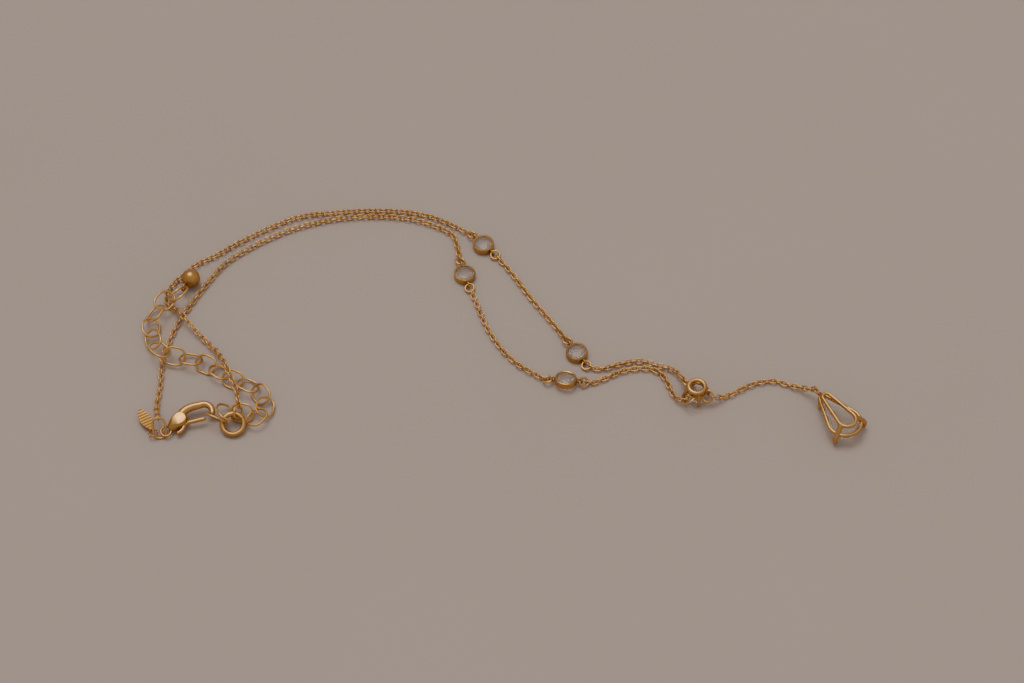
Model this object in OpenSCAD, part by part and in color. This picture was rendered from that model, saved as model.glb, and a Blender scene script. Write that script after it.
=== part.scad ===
// A Y necklace laid flat, front of the necklace to the right and its clasp to the left.
// +X runs from the clasp to the drop, +Y away from the viewer and +Z up from the surface it lies on.

/* [Fine chain] */
// Diameter of the wire of a fine link
link_wire = 0.32; // [0.28:0.01:0.33]
// Inside width of a fine link
link_width = 0.7; // [0.68:0.01:0.76]
// Distance from one fine link to the next
link_pitch = 1.2; // [1.16:0.01:1.24]
// Free play between two fine links
link_play = 0.15; // [0.14:0.01:0.16]

/* [Extender] */
// Diameter of the wire of an extender link
extender_wire = 0.48; // [0.4:0.01:0.5]
// Inside width of an extender link
extender_width = 3.3; // [3.25:0.05:3.35]
// Inside length of an extender link
extender_length = 4.4; // [4.35:0.05:4.5]
// Diameter of the ball at its end
ball_d = 4.1; // [3.8:0.1:4.2]
// Diameter of the wire of the thick ring at its start
end_ring_wire = 1.1; // [0.9:0.05:1.15]
// Outer diameter of the thick ring at its start
end_ring_d = 5.7; // [5.5:0.1:5.8]

/* [Stations] */
// Outer diameter of a round station
station_d = 4.8; // [4.6:0.1:4.9]
// Height of a station's rim
station_h = 1.5; // [1.4:0.05:1.6]
// Diameter of a station's stone
station_stone_d = 4.2; // [4.1:0.05:4.3]
// Diameter of the wire of the small jump rings
ring_wire = 0.48; // [0.42:0.01:0.5]

/* [Centre setting] */
// Diameter of the centre stone
centre_stone_d = 4.6; // [4.5:0.05:4.7]
// Height of the centre setting, claws to upper rail
centre_h = 4.35; // [4.2:0.05:4.5]

/* [Pear drop] */
// Length of the pear stone
pear_length = 11.3; // [11:0.1:11.6]
// Width of the pear stone
pear_width = 7.3; // [7.1:0.1:7.5]
// Height of the drop's setting, claws to upper rail
drop_h = 5.1; // [5:0.05:5.2]

/* [Clasp] */
// Thickness of the clasp's body
clasp_t = 2.6; // [2.5:0.05:2.7]
// Clearance between the lever's bore and its pin
pin_play = 0.05; // [0.03:0.01:0.08]
// Length of the leaf-shaped tag
tag_length = 8.2; // [7.8:0.1:8.4]

/* [Hidden] */
STATIONS = [1, 2, 3, 4];
STATION_RINGS = [1, 2, 3, 4, 5, 6, 7, 8];
GOLD = "goldenrod";
CLEAR = "lightcyan";
$fn = 24;
curve_steps = 8;

// Fine chain, worked out from the sizes above
link_length = link_pitch + link_play;
link_outer = link_width + 2 * link_wire;
chain_z = link_outer / 2 + 0.05;
strand_sides = 8;
strand_step = 2.8;
strand_gap = 0.15;

// Swept rods: sides, and how an end is rounded (distance from the end and width there, in widths)
rod_sides = 10;
rod_ends = [[0, 0.4], [0.12, 0.8], [0.35, 1]];

// Small gaps between neighbours
stone_gap = 0.03;
claw_gap = 0.1;
ring_play = 0.12;
eye_play = 0.2;

// Jump rings and soldered eyes of the stations
ring_hole = 1.5;
ring_roll = 14;
eye_hole = 0.85;
eye_wire = 0.38;
eye_reach = station_d / 2 + eye_hole / 2 + eye_wire / 2 - 0.08;

// Stations: place of the middle, direction of the two eyes, lean towards the viewer's far side,
// and the direction in which each of the two jump rings lies
station_at = [[-3.4, 21.9], [-7.5, 13.5], [17.1, -8.1], [14.6, -15.7]];
station_yaw = [-49, -75, -58, -5];
station_lean = [3, -3, 2, -14];
station_ring_yaw = [[133, -40], [108, -68], [121, -60], [174, -4]];

// Middle and turn of the centre setting and of the pear drop's round end
centre_at = [42.6, -19.3];
centre_turn = 10;
drop_at = [73.7, -27.9];
drop_turn = 124;

// Routes of the fine chain from ring to ring, chosen on the surface: x, y and lift above it
outer_back_route = [
    [-13.2, 29.2, 0], [-18.9, 31.1, 0], [-24.6, 31.8, 0], [-31.4, 31.8, 0], [-38.1, 31.2, 0],
    [-44.9, 30.1, 0], [-51.5, 26.9, 0], [-58.0, 22.8, 0], [-63.4, 18.8, 0], [-67.4, 16.3, 0],
    [-70.0, 13.4, 0], [-71.8, 11.2, 0], [-73.0, 9.2, 0], [-73.4, 7.4, 0], [-72.9, 5.5, 0],
    [-71.7, 4.0, 0.2], [-70.4, 2.5, 1.3], [-69.2, 1.0, 1.6], [-67.6, -0.9, 1.3], [-65.6, -3.1, 0.6],
    [-63.0, -5.9, 0.3], [-60.9, -8.8, 1.1], [-59.4, -11.9, 2.3], [-57.9, -15.2, 2.5], [-56.6, -18.2, 2.3],
    [-55.9, -20.6, 2.3], [-55.6, -22.2, 2.7]
];
outer_middle_route = [[2.6, 14.6, 0], [7.0, 7.3, 0], [11.3, 1.0, 0]];
outer_front_route = [
    [21.2, -12.3, 0], [22.8, -12.2, 0], [24.5, -11.7, 0], [26.4, -11.0, 0], [30.8, -10.2, 0],
    [34.7, -11.5, 0], [37.7, -12.6, 0.2], [39.7, -15.2, 0.9]
];
inner_back_route = [
    [-9.4, 22.3, 0], [-10.5, 25.1, 0], [-14.3, 27.4, 0], [-18.9, 29.2, 0], [-24.6, 30.1, 0],
    [-31.3, 30.1, 0], [-38.1, 29.2, 0], [-44.7, 27.2, 0], [-50.2, 24.6, 0], [-55.7, 21.1, 0],
    [-61.0, 16.6, 0], [-65.0, 10.4, 0], [-67.6, 5.6, 0], [-69.5, 1.8, 0], [-70.8, -1.5, 0],
    [-72.0, -5.6, 0], [-72.9, -8.8, 0], [-72.9, -13.9, 0], [-73.0, -19.0, 0],
    [-73.2, -22.5, 0.3], [-72.8, -25.0, 1.4]
];
inner_middle_route = [[-4.9, 5.9, 0], [-2.5, -1.0, 0], [0.4, -6.4, 0], [3.7, -10.5, 0], [6.9, -13.1, 0.15]];
inner_front_route = [
    [20.3, -16.0, 0], [23.3, -14.7, 0], [26.8, -12.9, 0], [30.7, -12.1, 0], [34.0, -12.6, 0],
    [36.2, -15.0, 0], [37.0, -17.4, 0], [37.9, -19.6, 0.1], [38.9, -20.9, 0.6]
];
drop_route = [
    [48.8, -19.8, 0], [52.1, -17.9, 0], [55.5, -16.1, 0], [59.8, -15.5, 0], [62.6, -16.6, 0],
    [65.0, -17.6, 0.5], [67.0, -18.9, 1.5]
];

// Route of the extender through the middles of its links: x, y and lift above where they lie
extender_route = [
    [-73.3, 4.8, 1.28], [-75.3, 1.6, 0.6], [-75.9, -1.7, 0.2], [-75.2, -5.2, 0.6], [-73.0, -8.8, 1.1],
    [-69.5, -10.1, 0.7], [-65.5, -10.6, 0.1], [-61.7, -12.5, 0], [-58.4, -15.0, 0], [-54.3, -16.9, 0],
    [-50.9, -19.6, 0], [-49.9, -22.9, 0], [-51.8, -25.9, 0]
];
extender_links = 13;

// Where a point lies between two others, and a smooth curve through a list of points
function between(a, b, t) = a + (b - a) * t;
function curve_point(a, b, c, d, t) =
    0.5 * (2 * b + (c - a) * t + (2 * a - 5 * b + 4 * c - d) * t ^ 2 + (3 * b - a - 3 * c + d) * t ^ 3);
function curve(points) = let (last = len(points) - 1) concat(
    [for (i = [0:last - 1], k = [0:curve_steps - 1])
        curve_point(points[max(i - 1, 0)], points[i], points[i + 1], points[min(i + 2, last)],
            k / curve_steps)],
    [points[last]]
);

// Length of a path up to each of its points, and the point at a given length along it
function lengths(path) = let (last = len(path) - 1)
    [for (i = 0, s = 0; i <= last; s = s + norm(path[min(i + 1, last)] - path[i]), i = i + 1) s];
function along(path, runs, s) = let (
    ahead = [for (k = [0:len(runs) - 2]) if (runs[k + 1] >= s || k == len(runs) - 2) k],
    i = ahead[0]
) between(path[i], path[i + 1], (s - runs[i]) / (runs[i + 1] - runs[i]));

// A point at a distance from another in a direction on the surface, and a vector turned about Z
function reach(p, yaw, distance) = [p.x + distance * cos(yaw), p.y + distance * sin(yaw)];
function turned(v, yaw) = [v.x * cos(yaw) - v.y * sin(yaw), v.x * sin(yaw) + v.y * cos(yaw), v.z];

// A ring is [middle, yaw, tip, roll, hole, wire]. The way it faces, and the end that it gives to a chain
// leaving towards a point: [point on its wire, wire, direction of the wire there]
function facing(ring) = let (tip = ring[2], roll = ring[3])
    turned([-cos(roll) * sin(tip), -sin(roll), cos(roll) * cos(tip)], ring[1]);
function chain_end(ring, toward) = let (
    face = facing(ring),
    off = toward - ring[0],
    out = off - (off * face) * face,
    way = out / norm(out)
) [ring[0] + (ring[4] + ring[5]) / 2 * way, ring[5], cross(face, way)];

// Roll that lays a link that points one way square across a wire that runs another
function roll_across(way, wire_way) = let (
    yaw = atan2(way.y, way.x),
    side = [-sin(yaw), cos(yaw), 0],
    up = cross(way, side) / norm(way)
) atan2(-(wire_way * side), wire_way * up);

// Turn from link to link: close to a quarter, so that the last one gets the roll that it needs
function quarter_turn(first_roll, last_roll, steps) =
    90 + (((last_roll - first_roll - 90 * steps + 90) % 180 + 180) % 180 - 90) / steps;

// Draws its children along the line from a to b, rolled about it
module between_points(a, b, roll) {
    d = b - a;
    translate((a + b) / 2)
        rotate([roll, -asin(d.z / norm(d)), atan2(d.y, d.x)])
            children();
}

// Draws its children at a place, turned about Z, then tipped up along their own X and rolled about it
module put(p, yaw = 0, tip = 0, roll = 0) {
    translate(p)
        rotate([roll, -tip, yaw])
            children();
}

// A closed ring of round wire
module wire_ring(hole, wire) {
    rotate_extrude()
        translate([(hole + wire) / 2, 0])
            circle(d = wire);
}

// An oval link of round wire, its long way along X
module oval_link(inside_length, inside_width, wire) {
    straight = inside_length - inside_width;
    bend = (inside_width + wire) / 2;
    for (half = [0, 180])
        rotate([0, 0, half]) {
            translate([straight / 2, 0, 0])
                rotate([0, 0, -90])
                    rotate_extrude(angle = 180)
                        translate([bend, 0])
                            circle(d = wire);
            translate([-straight / 2, bend, 0])
                rotate([0, 90, 0])
                    cylinder(d = wire, h = straight);
        }
}

module draw_ring(ring) {
    put(ring[0], ring[1], ring[2], ring[3])
        wire_ring(ring[4], ring[5]);
}

module fine_link(path, runs, s, roll) {
    between_points(along(path, runs, s), along(path, runs, s + link_length), roll)
        oval_link(link_length, link_width, link_wire);
}

// Fine links from the wire at one end of a route to the wire at its other end
module fine_chain(start, route, end) {
    path = path_between(start[0], route, end[0]);
    runs = lengths(path);
    last = len(path) - 1;
    first_s = -start[1] / 2 - link_play;
    last_s = runs[last] + end[1] / 2 + link_play - link_length;
    steps = round((last_s - first_s) / link_pitch);
    first_roll = roll_across(path[1] - path[0], start[2]);
    turn = quarter_turn(first_roll, roll_across(path[last] - path[last - 1], end[2]), steps);
    for (i = [0:steps])
        fine_link(path, runs, between(first_s, last_s, i / steps), first_roll + i * turn);
}

// A long length of the fine chain as a round strand of the same width. Its first two and last two links
// are drawn as links, so that they hold their rings
module long_chain(start, route, end) {
    path = path_between(start[0], route, end[0]);
    runs = lengths(path);
    last = len(path) - 1;
    first_s = -start[1] / 2 - link_play;
    last_s = runs[last] + end[1] / 2 + link_play - link_length;
    first_roll = roll_across(path[1] - path[0], start[2]);
    last_roll = roll_across(path[last] - path[last - 1], end[2]);
    for (i = [0, 1]) {
        fine_link(path, runs, first_s + i * link_pitch, first_roll + i * 90);
        fine_link(path, runs, last_s - i * link_pitch, last_roll + i * 90);
    }
    inset = link_pitch + link_length + link_wire + strand_gap;
    strand(path, runs, first_s + inset, last_s + link_length - inset);
}

// Stops of a tube set one after another: a ring of points round each, square to the way the stops run and
// turned from the given direction. An open tube is closed by flat ends
module swept(stops, widths, across, sides, loop = false) {
    count = len(stops);
    last = loop ? count - 1 : count - 2;
    ways = [for (i = [0:count - 1])
        loop ? stops[(i + 1) % count] - stops[(i + count - 1) % count]
            : stops[min(i + 1, count - 1)] - stops[max(i - 1, 0)]];
    points = [for (i = [0:count - 1], k = [0:sides - 1])
        let (
            turn = 360 * (k + 0.5) / sides,
            side = cross(ways[i], across) / norm(cross(ways[i], across)),
            up = cross(side, ways[i]) / norm(ways[i])
        ) stops[i] + widths[i] / 2 * (cos(turn) * side + sin(turn) * up)];
    walls = [for (i = [0:last], k = [0:sides - 1])
        let (next = (k + 1) % sides, ahead = (i + 1) % count)
            [i * sides + k, i * sides + next, ahead * sides + next, ahead * sides + k]];
    near_end = [for (k = [sides - 1:-1:0]) k];
    far_end = [for (k = [0:sides - 1]) (count - 1) * sides + k];
    polyhedron(points, loop ? walls : concat(walls, [near_end, far_end]));
}

// A round strand of the chain's own width, swept along a path from one length to another
module strand(path, runs, from, to) {
    rings = round((to - from) / strand_step);
    swept([for (i = [0:rings]) along(path, runs, between(from, to, i / rings))],
        [for (i = [0:rings]) link_outer], [0, 0, 1], strand_sides);
}

// A bent rod with rounded ends through a few points, of one width at its start and another at its end.
// It bends mainly square to the given direction
module rod(points, widths, across, steps) {
    path = curve(points);
    runs = lengths(path);
    total = runs[len(runs) - 1];
    last = len(rod_ends) - 1;
    inset = rod_ends[last][0];
    stops = concat(
        [for (e = rod_ends) [e[0] * widths[0], e[1]]],
        [for (i = [1:steps - 1]) [between(inset * widths[0], total - inset * widths[1], i / steps), 1]],
        [for (i = [last:-1:0]) [total - rod_ends[i][0] * widths[1], rod_ends[i][1]]]
    );
    swept([for (s = stops) along(path, runs, s[0])],
        [for (s = stops) between(widths[0], widths[1], s[0] / total) * s[1]], across, rod_sides);
}

// Middle height of a station that leans on its lower edge, and where its eye and jump ring are
function station_z(i) = station_h / 2 * cos(station_lean[i]) + station_d / 2 * abs(sin(station_lean[i]));
function station_side(i, side) = station_yaw[i] + 180 * (1 - side);
function ring_station(r) = floor((r - 1) / 2);
function ring_side(r) = (r - 1) % 2;
function eye_at(r) = let (i = ring_station(r))
    concat(reach(station_at[i], station_side(i, ring_side(r)), eye_reach), station_z(i));
function ring_way(r) = station_ring_yaw[ring_station(r)][ring_side(r)];
function ring_at(r) = let (e = eye_at(r), d = (eye_hole + ring_hole) / 2 - eye_play)
    concat(reach(e, ring_way(r), d), (e.z + chain_z) / 2);
function station_ring_place(r) = let (e = eye_at(r), m = ring_at(r))
    [m, ring_way(r), asin((m.z - e.z) / norm(m - e)), ring_roll, ring_hole, ring_wire];

// A round open-backed setting with a lip over its stone and a soldered eye at each side
module station(i) {
    wall = station_d / 2;
    seat = station_stone_d / 2 + stone_gap;
    ledge = seat - 0.15;
    lip = seat - 0.18;
    girdle = station_h - 0.45;
    color(GOLD)
        put(concat(station_at[i - 1], station_z(i - 1)), station_yaw[i - 1], 0, station_lean[i - 1])
            translate([0, 0, -station_h / 2]) {
                rotate_extrude()
                    polygon([
                        [ledge, 0], [wall - 0.12, 0], [wall, 0.12], [wall, station_h - 0.25],
                        [wall - 0.1, station_h - 0.07], [wall - 0.25, station_h], [lip, station_h - 0.1],
                        [lip, girdle + 0.2], [seat, girdle + 0.12], [seat, girdle - 0.1],
                        [ledge, girdle - 0.28]
                    ]);
                for (side = [-1, 1])
                    translate([side * eye_reach, 0, station_h / 2])
                        rotate([90, 0, 0])
                            wire_ring(eye_hole, eye_wire);
            }
}

// A round stone: table, slanted crown, thin girdle and shallow underside with a flat point
module round_stone(d, crown, girdle, under, table, point) {
    facets = 16;
    hull() {
        translate([0, 0, girdle / 2 + crown - 0.01])
            cylinder(d = d * table, h = 0.01, $fn = facets / 2);
        translate([0, 0, -girdle / 2])
            cylinder(d = d, h = girdle, $fn = facets);
        translate([0, 0, -girdle / 2 - under])
            cylinder(d = d * point, h = 0.01, $fn = facets / 2);
    }
}

module station_stone(i) {
    crown = 0.32;
    girdle = 0.14;
    under = 0.8;
    color(CLEAR)
        put(concat(station_at[i - 1], station_z(i - 1)), station_yaw[i - 1], 0, station_lean[i - 1])
            translate([0, 0, station_h / 2 - 0.45])
                round_stone(station_stone_d, crown, girdle, under, 0.56, 0.4);
}

module station_ring(r) {
    color(GOLD)
        draw_ring(station_ring_place(r));
}

// The centre setting lies on its claws, with the base that faces the skin when worn on top
rail_wire = 0.6;
centre_rail_d = 4.7;
centre_rail_z = centre_h * 0.53;
base_wire = 1;
base_d = 3.5;
base_z = centre_h - base_wire / 2;
claw_wire = 0.75;
claw_count = 4;
claw_steps = 4;
claw_waist_z = 1.25;
claw_hook = 0.2;
centre_girdle_z = 1.05;

// A claw from the base out to the stone's edge and in over its crown
module claw(top, waist, foot, wire) {
    rod([top, waist, foot], [wire, wire], [0, 1, 0], claw_steps);
}

module centre_setting() {
    edge = centre_stone_d / 2 + claw_gap + claw_wire / 2;
    color(GOLD)
        put(concat(centre_at, 0), centre_turn) {
            translate([0, 0, base_z])
                wire_ring(base_d - base_wire, base_wire);
            translate([0, 0, centre_rail_z])
                wire_ring(centre_rail_d - 2 * rail_wire, rail_wire);
            for (i = [0:claw_count - 1])
                rotate([0, 0, 360 * i / claw_count])
                    claw([base_d / 2, 0, base_z], [edge, 0, claw_waist_z],
                        [edge - claw_hook, 0, claw_wire / 2], claw_wire);
        }
}

module centre_stone() {
    crown = 0.6;
    girdle = 0.12;
    under = 1.3;
    color(CLEAR)
        put(concat(centre_at, centre_girdle_z), centre_turn)
            rotate([180, 0, 0])
                round_stone(centre_stone_d, crown, girdle, under, 0.58, 0.04);
}

// Rings round the rail of the centre setting: direction from its middle, tip, roll and hole
centre_rings = [[137, -2, 45, 2.1], [234, -6, 42, 2.1], [-30, -6, 42, 2]];
function centre_ring_place(k) = let (
    c = centre_rings[k],
    d = c[3] / 2 - rail_wire / 2 - ring_play,
    out = (centre_rail_d - rail_wire) / 2 + d * cos(c[1])
) [concat(reach(centre_at, c[0], out), centre_rail_z + d * sin(c[1])), c[0], c[1], c[2], c[3], ring_wire];

module centre_ring(k) {
    color(GOLD)
        draw_ring(centre_ring_place(k));
}

// The pear drop lies on its claws. Its own frame has the round end's middle at the origin and the tip on +X
drop_claw_wire = 1.15;
drop_rail_wire = 0.8;
tip_claw_wire = 0.7;
rail_tip_r = 0.9;
rail_round_steps = 16;
rail_tip_steps = 5;
pear_round = pear_width / 2;
pear_tip = pear_length - pear_round;
setting_tip = pear_tip + 0.45;
drop_rail_z = drop_h * 0.59;
drop_rail_round = pear_round - 0.1;
drop_base_z = drop_h - drop_rail_wire / 2;
drop_base_round = 1.95;
drop_base_back = 0.5;
drop_base_tip = setting_tip - 0.8;
drop_waist_z = 2.3;
drop_claw_turn = 117;
drop_claw_hook = 0.2;
tip_claw_foot = [setting_tip - 1.1, 1.1];
drop_eye_hole = 1.3;
drop_eye_wire = 0.45;
drop_eye_roll = 40;
drop_eye_z = drop_rail_z + 0.1;
drop_eye_reach = setting_tip + drop_eye_hole / 2 + 0.65;
drop_eye = [concat(reach(drop_at, drop_turn, drop_eye_reach), drop_eye_z), drop_turn, 0, drop_eye_roll,
    drop_eye_hole, drop_eye_wire];

// A pear-shaped rail of round wire: an arc, two straight sides and a small arc at the tip
module pear_rail(round_r, tip, wire) {
    middle = tip - rail_tip_r;
    half = asin((round_r - rail_tip_r) / middle);
    stops = concat(
        [for (i = [0:rail_round_steps])
            let (a = between(90 - half, 270 + half, i / rail_round_steps)) round_r * [cos(a), sin(a), 0]],
        [for (i = [0:rail_tip_steps])
            let (a = between(half - 90, 90 - half, i / rail_tip_steps))
                [middle, 0, 0] + rail_tip_r * [cos(a), sin(a), 0]]
    );
    swept(stops, [for (p = stops) wire], [0, 0, 1], rod_sides, loop = true);
}

module drop_setting() {
    edge = pear_round + claw_gap + drop_claw_wire / 2;
    foot_z = drop_claw_wire / 2;
    color(GOLD)
        put(concat(drop_at, 0), drop_turn) {
            translate([-drop_base_back, 0, drop_base_z])
                pear_rail(drop_base_round, drop_base_tip + drop_base_back, drop_rail_wire);
            translate([0, 0, drop_rail_z])
                pear_rail(drop_rail_round, setting_tip, drop_rail_wire);
            for (side = [-1, 1]) {
                rotate([0, 0, side * drop_claw_turn])
                    claw([drop_base_round, 0, drop_base_z], [edge, 0, drop_waist_z],
                        [edge - drop_claw_hook, 0, foot_z], drop_claw_wire);
                claw([drop_base_tip, 0, drop_base_z], [setting_tip, 0, drop_rail_z - 0.2],
                    [tip_claw_foot.x, side * tip_claw_foot.y, tip_claw_wire / 2], tip_claw_wire);
            }
            translate([drop_eye_reach, 0, drop_eye_z])
                rotate([drop_eye_roll, 0, 0])
                    wire_ring(drop_eye_hole, drop_eye_wire);
        }
}

// Half the outline of a pear of facets, scaled about the round end's middle
function pear_outline(round_r, tip, steps) = let (half = asin(round_r / tip))
    concat([[tip, 0]], [for (i = [0:steps]) let (a = 90 - half + (180 + 2 * half) * i / steps)
        round_r * [cos(a), sin(a)]]);

module drop_stone() {
    facets = 14;
    thin = 0.01;
    table = 0.6;
    girdle_z = 1.85;
    girdle = 0.1;
    table_z = 0.45;
    keel = [1.5, 0.2];
    keel_z = drop_h - 0.2;
    color(CLEAR)
        put(concat(drop_at, 0), drop_turn)
            hull() {
                translate([0, 0, table_z])
                    linear_extrude(thin)
                        polygon(pear_outline(pear_round * table, pear_tip * table, facets / 2));
                translate([0, 0, girdle_z])
                    linear_extrude(girdle)
                        polygon(pear_outline(pear_round, pear_tip, facets));
                translate([0, -keel.y / 2, keel_z])
                    cube([keel.x, keel.y, thin]);
            }
}

// Clasp: its own frame has the middle of its eye at the origin and its hook on +X
clasp_at = [-70.65, -29.05, 1.15];
clasp_yaw = 29;
clasp_tip = 6;
clasp_roll = 8;
clasp_eye_hole = 1.7;
clasp_eye_wire = 0.5;
hook_at = [8.9, 0];
hook_bend = 1.95;
hook_bar = 1.25;
hook_end = -50;
hook_points = 5;
hook_steps = 14;
arm_path = concat(
    [[3.8, 1.6, 0], [5.6, 2.35, 0], [7.2, 2.4, 0]],
    [for (i = [0:hook_points])
        let (a = between(90, hook_end, i / hook_points)) concat(hook_at + hook_bend * [cos(a), sin(a)], 0)]
);
pin_at = [4.4, -0.05];
pin_d = 0.7;
tongue_t = 0.9;
tongue_d = 1.6;
gate_bar = 0.9;
lever_steps = 14;
lever_path = [[1.7, -1.7, 0], [3.1, -1.45, 0], [4.5, -0.5, 0], [6.2, -0.85, 0], [8.7, -1.5, 0]];
arm_d = 2;
slot_play = 0.1;
bulb_turn = 13;
bulb = [
    [0, 0.75], [0.6, 0.8], [1.05, 1.5], [1.4, 2.2], [1.7, 3.1], [1.8, 4.0], [1.65, 4.8], [1.2, 5.3], [0, 5.6]
];

module clasp_frame() {
    put(clasp_at, clasp_yaw, clasp_tip, clasp_roll)
        children();
}

// Space round the pin in which the lever's tongue turns
module lever_slot() {
    h = tongue_t + 2 * slot_play;
    translate([pin_at.x, pin_at.y, -h / 2])
        cylinder(d = tongue_d + 2 * slot_play, h = h);
    translate([pin_at.x, -4, -h / 2])
        cube([3, 4.4, h]);
    translate([pin_at.x - 1.9, -4, -h / 2])
        cube([2, 4 + pin_at.y, h]);
}

module clasp_body() {
    color(GOLD)
        clasp_frame() {
            wire_ring(clasp_eye_hole, clasp_eye_wire);
            difference() {
                union() {
                    rotate([0, 0, bulb_turn])
                        intersection() {
                            rotate([0, 90, 0])
                                rotate_extrude()
                                    polygon(bulb);
                            translate([0, -3, -clasp_t / 2])
                                cube([8, 6, clasp_t]);
                        }
                    rod(arm_path, [arm_d, hook_bar], [0, 0, 1], hook_steps);
                }
                lever_slot();
            }
            translate([pin_at.x, pin_at.y, -clasp_t / 2 + 0.1])
                cylinder(d = pin_d, h = clasp_t - 0.2);
        }
}

module clasp_lever() {
    color(GOLD)
        clasp_frame()
            difference() {
                union() {
                    translate([pin_at.x, pin_at.y, -tongue_t / 2])
                        cylinder(d = tongue_d, h = tongue_t);
                    rod(lever_path, [gate_bar, gate_bar], [0, 0, 1], lever_steps);
                }
                translate([pin_at.x, pin_at.y, -clasp_t / 2])
                    cylinder(d = pin_d + 2 * pin_play, h = clasp_t);
            }
}

// Oval ring through the clasp's eye, the tag and the end of the inner chain. It stands at a slant
clasp_ring_at = [-72.05, -28.65, 1.82];
clasp_ring_yaw = 100;
clasp_ring_tip = 45;
clasp_ring_length = 3.9;
clasp_ring_width = 2.2;
clasp_ring_wire = 0.5;

module clasp_ring() {
    color(GOLD)
        put(clasp_ring_at, clasp_ring_yaw, clasp_ring_tip)
            oval_link(clasp_ring_length, clasp_ring_width, clasp_ring_wire);
}

// Leaf-shaped tag with a loop at its root
tag_at = [-73.36, -29.5, 1.2];
tag_yaw = 118;
tag_tip = -4;
tag_roll = 4;
tag_width = 2.6;
tag_t = 0.5;
tag_loop_hole = 1.5;
tag_loop_wire = 0.36;

module clasp_tag() {
    root = tag_loop_hole / 2 + 0.15;
    leaf = tag_length - root - tag_loop_hole / 2;
    bow = (leaf ^ 2 + tag_width ^ 2) / (4 * tag_width);
    color(GOLD)
        put(tag_at, tag_yaw, tag_tip, tag_roll) {
            wire_ring(tag_loop_hole, tag_loop_wire);
            translate([root + leaf / 2, 0, -tag_t / 2])
                linear_extrude(tag_t)
                    intersection() {
                        translate([0, bow - tag_width / 2])
                            circle(r = bow);
                        translate([0, tag_width / 2 - bow])
                            circle(r = bow);
                    }
        }
}

// Extender: links evenly along its route, each leaning the other way than the last. Then come four that
// lie one by one: the third holds the thick ring, the fourth is shared by that ring and the clasp's hook
extender_lean = [-20, 35];
extender_z = (extender_width + extender_wire) / 2 * sin(max(extender_lean)) + extender_wire / 2 + 0.02;
extender_last = [
    [[-51.55, -25.5, 1.4], -125, 0, 12],
    [[-54.75, -24.3, 1.3], 170, 4, -32],
    [[-58.1, -24.6, 2.0], 113, -7, 30],
    [[-60.0, -26.2, 2.0], 154, 0, 62]
];

module extender_link() {
    oval_link(extender_length, extender_width, extender_wire);
}

module extender_chain() {
    path = curve(extender_route);
    runs = lengths(path);
    pitch = runs[len(runs) - 1] / extender_links;
    half = extender_length / 2;
    color(GOLD) {
        for (i = [0:extender_links - 1]) {
            s = i * pitch;
            way = along(path, runs, s + half) - along(path, runs, s - half);
            put(along(path, runs, s) + [0, 0, extender_z], atan2(way.y, way.x), 0, extender_lean[i % 2])
                extender_link();
        }
        for (p = extender_last)
            put(p[0], p[1], p[2], p[3])
                extender_link();
    }
}

// Ball with its eye, and the link between it and the extender
ball_at = [-68.1, 11.5, ball_d / 2];
ball_yaw = -117;
ball_eye_hole = 1.3;
ball_eye_wire = 0.4;
ball_eye_reach = ball_d / 2 + ball_eye_hole / 2 + 0.1;
ball_ring_at = [-70.45, 7.1, 2.25];

module end_ball() {
    color(GOLD)
        put(ball_at, ball_yaw) {
            sphere(d = ball_d);
            translate([ball_eye_reach, 0, 0])
                rotate([90, 0, 0])
                    wire_ring(ball_eye_hole, ball_eye_wire);
        }
}

module ball_ring() {
    color(GOLD)
        put(ball_ring_at, 58, -3, -35)
            extender_link();
}

// Thick ring with the seam where it was closed, and the small ring that ties it to the outer chain
end_ring_at = [-56.45, -27.45, 1.6];
end_ring_lean = 20;
end_ring_seam = 0.12;
end_link = [[-55.45, -25.0, 2.3], 78, 16, 66, 2.5, ring_wire];

module end_ring() {
    color(GOLD)
        put(end_ring_at, 0, 0, end_ring_lean)
            difference() {
                wire_ring(end_ring_d - 2 * end_ring_wire, end_ring_wire);
                rotate([0, 0, 30])
                    translate([0, -end_ring_seam / 2, -end_ring_wire])
                        cube([end_ring_d, end_ring_seam, 2 * end_ring_wire]);
            }
}

module end_ring_link() {
    color(GOLD)
        draw_ring(end_link);
}

// The seven lengths of fine chain, each from the wire of one ring to the wire of the next
clasp_ring_top = [
    clasp_ring_at + (clasp_ring_length + clasp_ring_wire) / 2
        * turned([cos(clasp_ring_tip), 0, sin(clasp_ring_tip)], clasp_ring_yaw),
    clasp_ring_wire, turned([0, 1, 0], clasp_ring_yaw)
];

function lifted(route) = [for (p = route) p + [0, 0, chain_z]];
function path_between(a, route, b) = curve(concat([a], lifted(route), [b]));

module chain_between(ring_a, route, ring_b) {
    color(GOLD)
        fine_chain(chain_end(ring_a, lifted(route)[0]), route,
            chain_end(ring_b, lifted(route)[len(route) - 1]));
}

module chain_outer_back() {
    color(GOLD)
        long_chain(chain_end(station_ring_place(1), lifted(outer_back_route)[0]), outer_back_route,
            chain_end(end_link, lifted(outer_back_route)[len(outer_back_route) - 1]));
}

module chain_outer_middle() {
    chain_between(station_ring_place(2), outer_middle_route, station_ring_place(5));
}

module chain_outer_front() {
    chain_between(station_ring_place(6), outer_front_route, centre_ring_place(0));
}

module chain_inner_back() {
    color(GOLD)
        long_chain(chain_end(station_ring_place(3), lifted(inner_back_route)[0]), inner_back_route,
            clasp_ring_top);
}

module chain_inner_middle() {
    chain_between(station_ring_place(4), inner_middle_route, station_ring_place(7));
}

module chain_inner_front() {
    chain_between(station_ring_place(8), inner_front_route, centre_ring_place(1));
}

module drop_chain() {
    chain_between(centre_ring_place(2), drop_route, drop_eye);
}

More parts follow.
